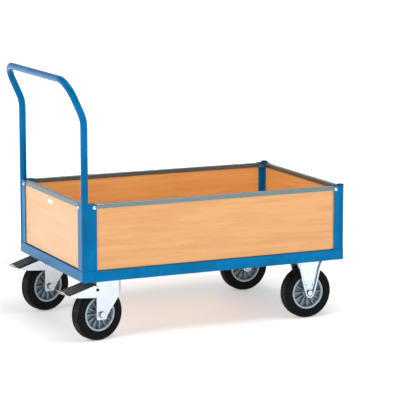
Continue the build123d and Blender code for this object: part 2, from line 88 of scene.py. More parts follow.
def add_noise(tree, vector, scale, detail, roughness=0.5, distortion=0.0):
    """A noise texture's grey value at a scale per metre, which may be a socket."""
    made = tree.nodes.new("ShaderNodeTexNoise")
    tree.links.new(vector, made.inputs["Vector"])
    if isinstance(scale, bpy.types.NodeSocket):
        tree.links.new(scale, made.inputs["Scale"])
    else:
        made.inputs["Scale"].default_value = scale
    made.inputs["Detail"].default_value = detail
    made.inputs["Roughness"].default_value = roughness
    made.inputs["Distortion"].default_value = distortion
    return made.outputs[0]


def add_steps(tree, value, low, high, to_low=0.0, to_high=1.0):
    """A smooth rise of a value between two levels."""
    made = tree.nodes.new("ShaderNodeMapRange")
    made.interpolation_type = "SMOOTHSTEP"
    tree.links.new(value, made.inputs["Value"])
    made.inputs["From Min"].default_value = low
    made.inputs["From Max"].default_value = high
    made.inputs["To Min"].default_value = to_low
    made.inputs["To Max"].default_value = to_high
    return made.outputs["Result"]


# Rounded edges: every folded, sawn or moulded edge is shaded round, and along it the materials lay
# a thin painted highlight; on paint and zinc the same edge is rubbed in patches.
edge_effect, edge_in, edge_out = new_effect(
    "Rounded and rubbed edge",
    [
        ("Vector", "NodeSocketVector", None),
        ("Width", "NodeSocketFloat", 0.001),
        ("Patch scale", "NodeSocketFloat", 60.0),
    ],
    [
        ("Rubbed", "NodeSocketFloat"),
        ("Edge", "NodeSocketFloat"),
        ("Crevice", "NodeSocketFloat"),
        ("Normal", "NodeSocketVector"),
    ],
)
rounding = edge_effect.nodes.new("ShaderNodeBevel")
rounding.samples = 6
edge_effect.links.new(edge_in.outputs["Width"], rounding.inputs["Radius"])
facing = edge_effect.nodes.new("ShaderNodeNewGeometry")
alignment = edge_effect.nodes.new("ShaderNodeVectorMath")
alignment.operation = "DOT_PRODUCT"
edge_effect.links.new(rounding.outputs["Normal"], alignment.inputs[0])
edge_effect.links.new(facing.outputs["Normal"], alignment.inputs[1])
bend = add_math(edge_effect, "SUBTRACT", 1.0, alignment.outputs["Value"], clamp=True)
edge_line = add_steps(edge_effect, bend, 0.02, 0.2)
patches = add_noise(edge_effect, edge_in.outputs["Vector"], edge_in.outputs["Patch scale"], 5.0, 0.65)
rubbed_patches = add_steps(edge_effect, patches, 0.5, 0.66)
edge_effect.links.new(add_math(edge_effect, "MULTIPLY", edge_line, rubbed_patches), edge_out.inputs["Rubbed"])
edge_effect.links.new(edge_line, edge_out.inputs["Edge"])
edge_effect.links.new(rounding.outputs["Normal"], edge_out.inputs["Normal"])
# Crevice: ambient occlusion marks corners and hollows, where the materials lay painted shade.
shelter = edge_effect.nodes.new("ShaderNodeAmbientOcclusion")
shelter.samples = 6
shelter.inputs["Distance"].default_value = 0.012
crevice = add_steps(edge_effect, shelter.outputs["AO"], 0.45, 0.95, 1.0, 0.0)
edge_effect.links.new(crevice, edge_out.inputs["Crevice"])

# Handling: broad clouding, fine grain and a few fine scratches, for roughness and colour.
wear_effect, wear_in, wear_out = new_effect(
    "Handling marks",
    [
        ("Vector", "NodeSocketVector", None),
        ("Cloud scale", "NodeSocketFloat", 9.0),
        ("Grain scale", "NodeSocketFloat", 700.0),
    ],
    [("Cloud", "NodeSocketFloat"), ("Grain", "NodeSocketFloat"), ("Scratch", "NodeSocketFloat")],
)
cloud = add_noise(wear_effect, wear_in.outputs["Vector"], wear_in.outputs["Cloud scale"], 6.0, 0.6, 0.4)
grain = add_noise(wear_effect, wear_in.outputs["Vector"], wear_in.outputs["Grain scale"], 2.0)
drawn_out = wear_effect.nodes.new("ShaderNodeMapping")
drawn_out.inputs["Rotation"].default_value = (0.5, 0.3, 0.9)
drawn_out.inputs["Scale"].default_value = (9.0, 210.0, 210.0)
wear_effect.links.new(wear_in.outputs["Vector"], drawn_out.inputs["Vector"])
scratch_noise = add_noise(wear_effect, drawn_out.outputs["Vector"], 1.0, 3.0, 0.55, 0.25)
wear_effect.links.new(cloud, wear_out.inputs["Cloud"])
wear_effect.links.new(grain, wear_out.inputs["Grain"])
wear_effect.links.new(add_steps(wear_effect, scratch_noise, 0.7, 0.76), wear_out.inputs["Scratch"])


def begin_material(name):
    """A material with its main shader, object coordinates, and the two effects that all of them use."""
    made = bpy.data.materials.new(name)
    made.use_nodes = True
    tree = made.node_tree
    shader = tree.nodes["Principled BSDF"]
    place = tree.nodes.new("ShaderNodeTexCoord")
    edge = tree.nodes.new("ShaderNodeGroup")
    edge.node_tree = edge_effect
    wear = tree.nodes.new("ShaderNodeGroup")
    wear.node_tree = wear_effect
    tree.links.new(place.outputs["Object"], edge.inputs["Vector"])
    tree.links.new(place.outputs["Object"], wear.inputs["Vector"])
    return made, tree, shader, place.outputs["Object"], edge, wear


def add_blend(tree, share, first, second):
    """A colour between two colours, each a socket or an (r, g, b)."""
    made = tree.nodes.new("ShaderNodeMix")
    made.data_type = "RGBA"
    if isinstance(share, bpy.types.NodeSocket):
        tree.links.new(share, made.inputs[0])
    else:
        made.inputs[0].default_value = share
    for socket, value in ((made.inputs[6], first), (made.inputs[7], second)):
        if isinstance(value, bpy.types.NodeSocket):
            tree.links.new(value, socket)
        else:
            socket.default_value = (*value, 1.0)
    return made.outputs[2]


def add_relief(tree, height, distance, normal):
    """A bump of a given depth in metres on top of a normal."""
    made = tree.nodes.new("ShaderNodeBump")
    made.inputs["Strength"].default_value = 1.0
    made.inputs["Distance"].default_value = distance
    tree.links.new(height, made.inputs["Height"])
    tree.links.new(normal, made.inputs["Normal"])
    return made.outputs["Normal"]


def finish_shader(tree, shader, colour, roughness, normal):
    """Link a material's worked-out colour, roughness and normal to its main shader."""
    tree.links.new(colour, shader.inputs["Base Color"])
    tree.links.new(roughness, shader.inputs["Roughness"])
    tree.links.new(normal, shader.inputs["Normal"])


def powder_coat(name, blue, gloss):
    """Blue powder coat: slightly clouded, with a painted highlight and rubbed patches along edges, and
    painted shade in corners.
    """
    made, tree, shader, _, edge, wear = begin_material(name)
    edge.inputs["Width"].default_value = 0.0012
    edge.inputs["Patch scale"].default_value = 45.0
    wear.inputs["Cloud scale"].default_value = 7.0
    wear.inputs["Grain scale"].default_value = 420.0
    light_blue = tuple(c * 1.14 for c in blue)
    dark_blue = tuple(c * 0.86 for c in blue)
    # The first colour is a painted highlight on edges, the second real rubbing, the third painted shade in
    # corners.
    highlight_blue, rubbed_blue, corner_shade_blue = (0.03, 0.27, 0.56), (0.05, 0.09, 0.16), (0.0, 0.05, 0.13)
    coat = add_blend(tree, add_steps(tree, wear.outputs["Cloud"], 0.35, 0.65), dark_blue, light_blue)
    paler = add_blend(tree, add_math(tree, "MULTIPLY", edge.outputs["Edge"], 0.3), coat, highlight_blue)
    worn = add_blend(tree, add_math(tree, "MULTIPLY", edge.outputs["Rubbed"], 0.45), paler, rubbed_blue)
    shaded = add_blend(tree, add_math(tree, "MULTIPLY", edge.outputs["Crevice"], 0.4), worn, corner_shade_blue)
    cloudy = add_math(tree, "MULTIPLY_ADD", wear.outputs["Cloud"], 0.16, gloss - 0.08)
    marked = add_math(tree, "MULTIPLY_ADD", wear.outputs["Scratch"], 0.12, cloudy)
    roughness = add_math(tree, "MULTIPLY_ADD", edge.outputs["Rubbed"], 0.2, marked)
    orange_peel = add_relief(tree, wear.outputs["Grain"], 0.00006, edge.outputs["Normal"])
    finish_shader(tree, shader, shaded, roughness, orange_peel)
    shader.inputs["Specular IOR Level"].default_value = 0.2
    shader.inputs["Specular Tint"].default_value = (0.05, 0.55, 1.0, 1.0)
    shader.inputs["Coat Weight"].default_value = 0.04
    shader.inputs["Coat Roughness"].default_value = 0.07
    return made


frame_coat = powder_coat("blue powder coat on the frame", (0.0, 0.142, 0.345), 0.34)
# The tubes carry the frame's blue coat, given a darker colour as painted shade.
shaded_tube_coat = powder_coat("blue powder coat on the tubes, darker as painted shade", (0.0, 0.118, 0.30), 0.18)


def dress(finish, *names):
    """Put a finish on the named pieces, with round faces smooth and folds crisp."""
    for name in names:
        shape = frame["nodes"][name].data
        shape.materials.clear()
        shape.materials.append(finish)
        shape.polygons.foreach_set("use_smooth", [True] * len(shape.polygons))
        shape.set_sharp_from_angle(angle=math.radians(28))


def pieces_named(*starts):
    """Names of all pieces that begin in one of these ways."""
    return [name for name in frame["nodes"] if name.startswith(starts)]


dress(frame_coat, *pieces_named("frame_", "castor_carrier", "centre_bearer", "corner_profile"))
dress(shaded_tube_coat, "push_handle", "front_post_left", "front_post_right")

# ------------------------------------------------------------------ weld beads
# Fillet beads of small overlapping scales run where the carriers and the bearer meet the side
# rails, and along the foot of each corner profile. They are laid before the frame is coated.
def laid_out(name, points, directions, stamp, material, body, seed, jitter):
    """Copies of a stamp mesh on points, each with its X along a direction and a slight size change."""
    spots = bpy.data.meshes.new(f"{name} spots")
    spots.from_pydata([tuple(point) for point in points], [], [])
    heading = spots.attributes.new("heading", "FLOAT_VECTOR", "POINT")
    heading.data.foreach_set("vector", [value for direction in directions for value in direction])
    holder = bpy.data.objects.new(name, spots)
    bpy.context.scene.collection.objects.link(holder)
    stamp_object = bpy.data.objects.new(f"{name} stamp", stamp)
    bpy.context.scene.collection.objects.link(stamp_object)
    tree = bpy.data.node_groups.new(f"{name} layout", "GeometryNodeTree")
    tree.interface.new_socket(name="Spots", in_out="INPUT", socket_type="NodeSocketGeometry")
    size_low = tree.interface.new_socket(name="Smallest", in_out="INPUT", socket_type="NodeSocketFloat")
    size_high = tree.interface.new_socket(name="Largest", in_out="INPUT", socket_type="NodeSocketFloat")
    tree.interface.new_socket(name="Pieces", in_out="OUTPUT", socket_type="NodeSocketGeometry")
    start = tree.nodes.new("NodeGroupInput")
    end = tree.nodes.new("NodeGroupOutput")
    place = tree.nodes.new("GeometryNodeInstanceOnPoints")
    shape = tree.nodes.new("GeometryNodeObjectInfo")
    shape.inputs["Object"].default_value = stamp_object
    follow = tree.nodes.new("GeometryNodeInputNamedAttribute")
    follow.data_type = "FLOAT_VECTOR"
    follow.inputs["Name"].default_value = "heading"
    turn = tree.nodes.new("FunctionNodeAlignRotationToVector")
    turn.axis = "X"
    sizes = tree.nodes.new("FunctionNodeRandomValue")
    sizes.data_type = "FLOAT"
    sizes.inputs["Seed"].default_value = seed
    join = tree.nodes.new("GeometryNodeRealizeInstances")
    paint = tree.nodes.new("GeometryNodeSetMaterial")
    paint.inputs["Material"].default_value = material
    float_sockets = [socket for socket in sizes.inputs if socket.type == "VALUE" and socket.enabled]
    tree.links.new(start.outputs["Spots"], place.inputs["Points"])
    tree.links.new(shape.outputs["Geometry"], place.inputs["Instance"])
    tree.links.new([out for out in follow.outputs if out.enabled][0], turn.inputs["Vector"])
    tree.links.new(turn.outputs["Rotation"], place.inputs["Rotation"])
    tree.links.new(start.outputs["Smallest"], float_sockets[0])
    tree.links.new(start.outputs["Largest"], float_sockets[1])
    tree.links.new([out for out in sizes.outputs if out.enabled][0], place.inputs["Scale"])
    tree.links.new(place.outputs["Instances"], join.inputs["Geometry"])
    tree.links.new(join.outputs["Geometry"], paint.inputs["Geometry"])
    tree.links.new(paint.outputs["Geometry"], end.inputs["Pieces"])
    layout = holder.modifiers.new("layout", "NODES")
    layout.node_group = tree
    layout[size_low.identifier] = 1.0 - jitter
    layout[size_high.identifier] = 1.0 + jitter
    kept = bpy.data.meshes.new_from_object(holder.evaluated_get(bpy.context.evaluated_depsgraph_get()))
    holder.modifiers.remove(layout)
    holder.data = kept
    bpy.data.objects.remove(stamp_object)
    kept.polygons.foreach_set("use_smooth", [True] * len(kept.polygons))
    kept.set_sharp_from_angle(angle=math.radians(35))
    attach(holder, body)
    return holder


def weld_scale(radius):
    """One scale of a weld bead: a round drop, shorter along the bead than across it."""
    drop = bmesh.new()
    bmesh.ops.create_icosphere(drop, subdivisions=2, radius=radius)
    shortening = 0.62
    bmesh.ops.scale(drop, vec=Vector((shortening, 1.0, 1.0)), verts=drop.verts)
    mesh = bpy.data.meshes.new("weld scale")
    drop.to_mesh(mesh)
    drop.free()
    return mesh


def bead_along(start, end, pitch):
    """Evenly spaced points from a start to an end, with the direction at each."""
    start, end = Vector(start), Vector(end)
    count = max(2, round((end - start).length / pitch))
    direction = (end - start).normalized()
    return [start.lerp(end, index / (count - 1)) for index in range(count)], [direction] * count


drop_radius = 0.0024
carrier_pitch, carrier_share = 0.0028, 0.38
profile_pitch, profile_flange = 0.0026, 0.0226
bead_from_corner, bead_from_end = 0.034, 0.002

bead_points, bead_headings = [], []
for node in ("castor_carrier_handle", "castor_carrier_front", "centre_bearer"):
    low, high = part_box(node)
    span = (high.x - low.x) * carrier_share
    for edge_y in (low.y, high.y):
        for edge_x, step in ((low.x, span), (high.x, -span)):
            run_start, run_end = (edge_x, edge_y, low.z), (edge_x + step, edge_y, low.z)
            points, headings = bead_along(run_start, run_end, carrier_pitch)
            bead_points += points
            bead_headings += headings
for node in pieces_named("corner_profile"):
    low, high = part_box(node)
    outer_x, inner_x, inward_x = (low.x, high.x, 1.0) if "handle" in node else (high.x, low.x, -1.0)
    outer_y, inner_y, inward_y = (low.y, high.y, 1.0) if "left" in node else (high.y, low.y, -1.0)
    flange_x, flange_y = outer_x + inward_x * profile_flange, outer_y + inward_y * profile_flange
    first_x, first_y = outer_x + inward_x * bead_from_corner, outer_y + inward_y * bead_from_corner
    last_x, last_y = inner_x - inward_x * bead_from_end, inner_y - inward_y * bead_from_end
    for run_start, run_end in (
        ((first_x, flange_y, low.z), (last_x, flange_y, low.z)),
        ((flange_x, first_y, low.z), (flange_x, last_y, low.z)),
    ):
        points, headings = bead_along(run_start, run_end, profile_pitch)
        bead_points += points
        bead_headings += headings
laid_out("weld_beads", bead_points, bead_headings, weld_scale(drop_radius), frame_coat, "chassis",
         11, 0.14)


# ------------------------------------------------------------------ castor steel and fasteners
# Forks, brackets, plates, brake levers and fasteners are pressed or turned steel with a bright
# bluish zinc plate, slightly mottled, dulled on rubbed edges and darkened in the corners with
# painted shade. The brake pivots are blackened rivets, and the wheel bearings are bare ground steel.
def zinc_plate(name, tint, gloss):
    """Plated or bare steel: mottled, dulled where its edges are rubbed, with painted shade in corners."""
    made, tree, shader, _, edge, wear = begin_material(name)
    edge.inputs["Width"].default_value = 0.0008
    edge.inputs["Patch scale"].default_value = 120.0
    wear.inputs["Cloud scale"].default_value = 26.0
    wear.inputs["Grain scale"].default_value = 1100.0
    bluish = tuple(c * m for c, m in zip(tint, (0.86, 0.92, 1.02)))
    # The dark colour is painted shade, laid in corners and crevices.
    dull_grey, corner_shade_grey = (0.36, 0.36, 0.36), (0.10, 0.11, 0.12)
    plate = add_blend(tree, add_steps(tree, wear.outputs["Cloud"], 0.3, 0.7), tint, bluish)
    dulled = add_blend(tree, add_math(tree, "MULTIPLY", edge.outputs["Rubbed"], 0.4), plate, dull_grey)
    corner_shaded = add_blend(tree, add_math(tree, "MULTIPLY", edge.outputs["Crevice"], 0.75), dulled, corner_shade_grey)
    cloudy = add_math(tree, "MULTIPLY_ADD", wear.outputs["Cloud"], 0.22, gloss - 0.1)
    roughness = add_math(tree, "MULTIPLY_ADD", wear.outputs["Scratch"], 0.15, cloudy)
    normal = add_relief(tree, wear.outputs["Grain"], 0.00004, edge.outputs["Normal"])
    finish_shader(tree, shader, corner_shaded, roughness, normal)
    shader.inputs["Metallic"].default_value = 0.92
    return made


bright_zinc = zinc_plate("bright zinc on the castors", (0.64, 0.68, 0.71), 0.2)
fastener_zinc = zinc_plate("bright zinc on bolts and nuts", (0.62, 0.66, 0.69), 0.2)
bearing_steel = zinc_plate("ground bearing steel", (0.42, 0.42, 0.43), 0.34)
rivet_steel = zinc_plate("blackened rivet steel", (0.02, 0.02, 0.025), 0.42)

fasteners = [name for name in frame["nodes"] if name.endswith(("bolts", "nuts", "bolt", "king_pin"))]
dress(fastener_zinc, *fasteners)
dress(rivet_steel, *[name for name in frame["nodes"] if name.endswith("rivets")])
dress(bearing_steel, *[name for name in frame["nodes"] if name.endswith("hub_bearing")])
pressed = ("fork", "bracket", "plate", "ball_race", "brake_lever")
dress(bright_zinc, *[name for name in pieces_named("swivel", "fixed") if name.endswith(pressed)])

# ------------------------------------------------------------------ board walls and deck
# Walls and deck are pressed board with a beech decor face, sawn to size and slid into the corner
# profiles or laid in the frame. The figure runs along each board, and each has its own place in
# the figure. The walls differ in colour as painted light: the handle wall is paler, a painted
# sheen, and the right and front walls, seen from inside, are brighter and redder, painted light
# for light thrown between the walls. The deck has its own colour.

# Beech figure: long soft bands, short dark flecks and open pores, all drawn out along the board.
wood_effect, wood_in, wood_out = new_effect(
    "Beech figure",
    [("Vector", "NodeSocketVector", None), ("Drawing out", "NodeSocketVector", (1.0, 8.0, 8.0))],
    [("Band", "NodeSocketFloat"), ("Fleck", "NodeSocketFloat"), ("Pore", "NodeSocketFloat")],
)
along = wood_effect.nodes.new("ShaderNodeVectorMath")
along.operation = "MULTIPLY"
wood_effect.links.new(wood_in.outputs["Vector"], along.inputs[0])
wood_effect.links.new(wood_in.outputs["Drawing out"], along.inputs[1])
stretched = along.outputs["Vector"]
wood_effect.links.new(add_noise(wood_effect, stretched, 2.2, 5.0, 0.6, 0.35), wood_out.inputs["Band"])
fleck_noise = add_noise(wood_effect, stretched, 17.0, 3.0, 0.6, 0.2)
wood_effect.links.new(add_steps(wood_effect, fleck_noise, 0.56, 0.72), wood_out.inputs["Fleck"])
pore_noise = add_noise(wood_effect, stretched, 46.0, 3.0, 0.6)
wood_effect.links.new(add_steps(wood_effect, pore_noise, 0.57, 0.7), wood_out.inputs["Pore"])


def beech_board(name, drawing_out, offset, pale, dark):
    """Beech decor with its figure drawn out along the board and moved to its own place."""
    made, tree, shader, place, edge, wear = begin_material(name)
    edge.inputs["Width"].default_value = 0.001
    wear.inputs["Cloud scale"].default_value = 3.0
    moved = tree.nodes.new("ShaderNodeVectorMath")
    moved.operation = "ADD"
    moved.inputs[1].default_value = offset
    tree.links.new(place, moved.inputs[0])
    figure = tree.nodes.new("ShaderNodeGroup")
    figure.node_tree = wood_effect
    figure.inputs["Drawing out"].default_value = drawing_out
    tree.links.new(moved.outputs["Vector"], figure.inputs["Vector"])
    fleck_tone = tuple(c * m for c, m in zip(dark, (0.86, 0.74, 0.62)))
    pore_tone = tuple(c * m for c, m in zip(dark, (0.72, 0.56, 0.42)))
    bands = add_blend(tree, add_steps(tree, figure.outputs["Band"], 0.33, 0.68), pale, dark)
    flecked = add_blend(tree, add_math(tree, "MULTIPLY", figure.outputs["Fleck"], 0.26), bands, fleck_tone)
    porous = add_blend(tree, add_math(tree, "MULTIPLY", figure.outputs["Pore"], 0.22), flecked, pore_tone)
    soiling = add_math(tree, "MULTIPLY", add_steps(tree, wear.outputs["Cloud"], 0.5, 0.75), 0.08)
    soiled = add_blend(tree, soiling, porous, pore_tone)
    pore_gloss = add_math(tree, "MULTIPLY_ADD", figure.outputs["Pore"], 0.12, 0.30)
    roughness = add_math(tree, "MULTIPLY_ADD", wear.outputs["Cloud"], 0.14, pore_gloss)
    sunk = add_math(tree, "SUBTRACT", 1.0, figure.outputs["Pore"])
    normal = add_relief(tree, sunk, 0.00005, edge.outputs["Normal"])
    finish_shader(tree, shader, soiled, roughness, normal)
    shader.inputs["Specular IOR Level"].default_value = 0.75
    return made


side_drawing, end_drawing, deck_drawing = (1.7, 20.0, 26.0), (20.0, 1.7, 26.0), (1.7, 26.0, 20.0)
beech_pale, beech_dark = (0.715, 0.352, 0.116), (0.635, 0.285, 0.081)
# Painted light: the right and front walls are brighter and redder, and the handle wall paler as a painted
# sheen.
inside_lit_pale, inside_lit_dark = (0.98, 0.49, 0.15), (0.92, 0.40, 0.11)
sheen_pale, sheen_dark = (0.79, 0.445, 0.217), (0.715, 0.375, 0.165)
deck_pale, deck_dark = (0.84, 0.50, 0.24), (0.70, 0.38, 0.16)
boards = {
    "wall_panel_left": ("left wall", side_drawing, (0.0, 0.0, 0.0), beech_pale, beech_dark),
    "wall_panel_right": ("right wall", side_drawing, (3.1, 0.7, 0.4), inside_lit_pale, inside_lit_dark),
    "wall_panel_handle": ("handle wall", end_drawing, (0.2, 1.3, 1.9), sheen_pale, sheen_dark),
    "wall_panel_front": ("front wall", end_drawing, (5.2, 2.3, 0.8), inside_lit_pale, inside_lit_dark),
    "deck_board": ("deck", deck_drawing, (1.7, 4.1, 0.3), deck_pale, deck_dark),
}
for board, (title, drawing_out, offset, pale, dark) in boards.items():
    dress(beech_board(f"beech decor, {title}", drawing_out, offset, pale, dark), board)

# ------------------------------------------------------------------ deck screws
# The deck is held down with zinc plated, countersunk cross-head screws into both carriers and the
# centre bearer. Each is driven in until only the face of its head stands above the board.
def screw_head(radius):
    """A closed countersunk head with a cross recess; the board's surface is at height zero."""
    head = bmesh.new()
    sides = 24
    foot_height, recess_height, rim_height, face_height = -0.002, 0.0001, 0.0002, 0.0007
    foot_share, face_share, recess_taper = 0.6, 0.9, 0.8
    arm, slot_half = radius * 0.55, radius * 0.13
    angles = [math.tau * k / sides for k in range(sides)]
    foot, rim, top = (
        [head.verts.new((share * radius * math.cos(a), share * radius * math.sin(a), height)) for a in angles]
        for share, height in ((foot_share, foot_height), (1.0, rim_height), (face_share, face_height))
    )
    cross = []
    for k in range(4):
        turn = Matrix.Rotation(math.tau * k / 4, 3, "Z")
        corners = [(slot_half, slot_half, 0), (arm, slot_half, 0), (arm, -slot_half, 0)]
        cross += [turn @ Vector(corner) for corner in reversed(corners)]
    ring = [head.verts.new((point.x, point.y, face_height)) for point in cross]
    tapered = [point * recess_taper for point in cross]
    floor = [head.verts.new((point.x, point.y, recess_height)) for point in tapered]
    head.faces.new(foot)
    for low_ring, high_ring in ((foot, rim), (rim, top)):
        for k in range(sides):
            after = (k + 1) % sides
            head.faces.new((low_ring[k], low_ring[after], high_ring[after], high_ring[k]))
    count = len(ring)
    for k in range(count):
        head.faces.new((ring[k], ring[(k + 1) % count], floor[(k + 1) % count], floor[k]))
    head.faces.new(floor)
    edges = [head.edges.get((top[k], top[(k + 1) % sides])) for k in range(sides)]
    edges += [head.edges.get((ring[k], ring[(k + 1) % count])) for k in range(count)]
    bmesh.ops.triangle_fill(head, use_beauty=True, use_dissolve=False, edges=edges)
    bmesh.ops.recalc_face_normals(head, faces=head.faces)
    mesh = bpy.data.meshes.new("screw head")
    head.to_mesh(mesh)
    head.free()
    return mesh


screw_radius = 0.0055
deck_low, deck_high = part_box("deck_board")
screw_points = []
for node in ("castor_carrier_handle", "castor_carrier_front", "centre_bearer"):
    low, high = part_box(node)
    for share in (0.12, 0.37, 0.63, 0.88):
        screw_y = deck_low.y + (deck_high.y - deck_low.y) * share
        screw_points.append(Vector(((low.x + high.x) / 2, screw_y, deck_high.z)))
screw_headings = [Vector((1.0, 0.3, 0.0))] * len(screw_points)
laid_out("deck_screws", screw_points, screw_headings, screw_head(screw_radius), fastener_zinc, "chassis",
         5, 0.0)


# ------------------------------------------------------------------ cap rails
# Each wall is closed by a channel folded from hot-dip galvanised strip and pressed over the
# board: dull grey crystals of uneven size, with a painted highlight along the fold lines.
def galvanised_strip(name):
    """Galvanised sheet: every crystal has its own grey and gloss, and folds carry a painted highlight."""
    made, tree, shader, place, edge, wear = begin_material(name)
    edge.inputs["Width"].default_value = 0.0013
    wear.inputs["Cloud scale"].default_value = 14.0
    crystals = tree.nodes.new("ShaderNodeTexVoronoi")
    crystals.inputs["Scale"].default_value = 240.0
    tree.links.new(place, crystals.inputs["Vector"])
    split = tree.nodes.new("ShaderNodeSeparateColor")
    tree.links.new(crystals.outputs["Color"], split.inputs["Color"])
    facet = split.outputs[0]
    grey = add_blend(tree, facet, (0.125, 0.175, 0.178), (0.17, 0.22, 0.22))
    # The near-white colour on the fold lines is a painted highlight.
    folded = add_blend(tree, edge.outputs["Edge"], grey, (0.86, 0.88, 0.86))
    clouded = add_math(tree, "MULTIPLY_ADD", wear.outputs["Cloud"], 0.18, 0.2)
    roughness = add_math(tree, "MULTIPLY_ADD", facet, 0.12, clouded)
    normal = add_relief(tree, facet, 0.000015, edge.outputs["Normal"])
    finish_shader(tree, shader, folded, roughness, normal)
    shader.inputs["Metallic"].default_value = 0.8
    return made


cap_rail_zinc = galvanised_strip("galvanised strip on the cap rails")
dress(cap_rail_zinc, *pieces_named("wall_cap"))

# ------------------------------------------------------------------ blank sticker
# A small white plastic film with rounded corners is stuck under the cap rail on the handle wall.
# It carries nothing.
def sticker_film(name):
    """White film, slightly yellowed and dulled in patches."""
    made, tree, shader, _, edge, wear = begin_material(name)
    edge.inputs["Width"].default_value = 0.0002
    colour = add_blend(tree, wear.outputs["Cloud"], (0.70, 0.71, 0.70), (0.82, 0.83, 0.83))
    roughness = add_math(tree, "MULTIPLY_ADD", wear.outputs["Cloud"], 0.2, 0.22)
    normal = add_relief(tree, wear.outputs["Grain"], 0.00002, edge.outputs["Normal"])
    finish_shader(tree, shader, colour, roughness, normal)
    return made


sticker_thickness, sticker_width, sticker_height, sticker_corner = 0.0004, 0.052, 0.014, 0.0015
sticker_aside, sticker_drop = 0.01, 0.022
panel_low, panel_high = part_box("wall_panel_handle")
cap_low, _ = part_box("wall_cap_handle")
sticker = bmesh.new()
bmesh.ops.create_cube(sticker, size=1.0)
sticker_size = Vector((sticker_thickness, sticker_width, sticker_height))
bmesh.ops.scale(sticker, vec=sticker_size, verts=sticker.verts)
corner_edges = [e for e in sticker.edges if abs(e.verts[0].co.x - e.verts[1].co.x) > sticker_thickness / 2]
bmesh.ops.bevel(sticker, geom=corner_edges, offset=sticker_corner, segments=3, affect="EDGES")
sticker_spot = Vector((
    panel_low.x - sticker_thickness / 2,
    (panel_low.y + panel_high.y) / 2 + sticker_aside,
    cap_low.z - sticker_drop,
))
bmesh.ops.translate(sticker, vec=sticker_spot, verts=sticker.verts)
sticker_mesh = bpy.data.meshes.new("blank_sticker")
sticker.to_mesh(sticker_mesh)
sticker.free()
sticker_mesh.materials.append(sticker_film("white sticker film"))
sticker_object = bpy.data.objects.new("blank_sticker", sticker_mesh)
bpy.context.scene.collection.objects.link(sticker_object)
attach(sticker_object, "chassis")

# ------------------------------------------------------------------ wheel rims
# Rims are moulded in a bluish grey plastic with a satin skin, ribbed between hub and bed, with a
# painted highlight along the ribs and painted shade deep between them. Hub and lip are told apart
# by their distance from the wheel's own axle, so each wheel has its own material.
joints = {joint["name"]: joint for joint in frame["joints"]}


def wheel_axle(node):
    """Axle centre and turn of the wheel that a rim or tyre node belongs to."""
    kind, side = node.split("_")[:2]
    spin = joints[f"{kind}_wheel_{side}_spin"]
    return tuple(spin["pos_m"]), math.atan2(-spin["axis"][0], spin["axis"][1])


def axle_distance(tree, place, axle, turn):
    """How far a place is from an axle, whose castor stands at a turn."""
    local = tree.nodes.new("ShaderNodeMapping")
    local.vector_type = "TEXTURE"
    local.inputs["Location"].default_value = axle
    local.inputs["Rotation"].default_value = (0.0, 0.0, turn)
    tree.links.new(place, local.inputs["Vector"])
    flat = tree.nodes.new("ShaderNodeVectorMath")
    flat.operation = "MULTIPLY"
    flat.inputs[1].default_value = (1.0, 0.0, 1.0)
    tree.links.new(local.outputs["Vector"], flat.inputs[0])
    reach = tree.nodes.new("ShaderNodeVectorMath")
    reach.operation = "LENGTH"
    tree.links.new(flat.outputs["Vector"], reach.inputs[0])
    return reach.outputs["Value"]


def rim_plastic(name, axle, turn):
    """Grey moulded plastic, paler at the lip, with a painted highlight along ribs and painted shade between
    them.
    """
    made, tree, shader, place, edge, wear = begin_material(name)
    edge.inputs["Width"].default_value = 0.0011
    wear.inputs["Cloud scale"].default_value = 30.0
    wear.inputs["Grain scale"].default_value = 800.0
    hub_start, hub_end, lip_start, lip_end = 0.019, 0.021, 0.0565, 0.058
    web_grey, lip_grey, hub_grey = (0.25, 0.34, 0.395), (0.38, 0.46, 0.51), (0.30, 0.38, 0.43)
    # The edge colour is a painted highlight along the ribs, and the dark colour painted shade between them.
    rib_highlight_grey, rib_shade_dark = (0.42, 0.48, 0.53), (0.05, 0.06, 0.07)
    radius = axle_distance(tree, place, axle, turn)
    outward = add_blend(tree, add_steps(tree, radius, lip_start, lip_end), web_grey, lip_grey)
    zoned = add_blend(tree, add_steps(tree, radius, hub_start, hub_end), hub_grey, outward)
    rib_highlighted = add_blend(tree, edge.outputs["Edge"], zoned, rib_highlight_grey)
    rib_shaded = add_blend(tree, add_math(tree, "MULTIPLY", edge.outputs["Crevice"], 0.6), rib_highlighted, rib_shade_dark)
    roughness = add_math(tree, "MULTIPLY_ADD", wear.outputs["Cloud"], 0.2, 0.28)
    normal = add_relief(tree, wear.outputs["Grain"], 0.00004, edge.outputs["Normal"])
    finish_shader(tree, shader, rib_shaded, roughness, normal)
    return made


for name in frame["nodes"]:
    if name.endswith("_rim"):
        dress(rim_plastic(f"plastic of {name}", *wheel_axle(name)), name)

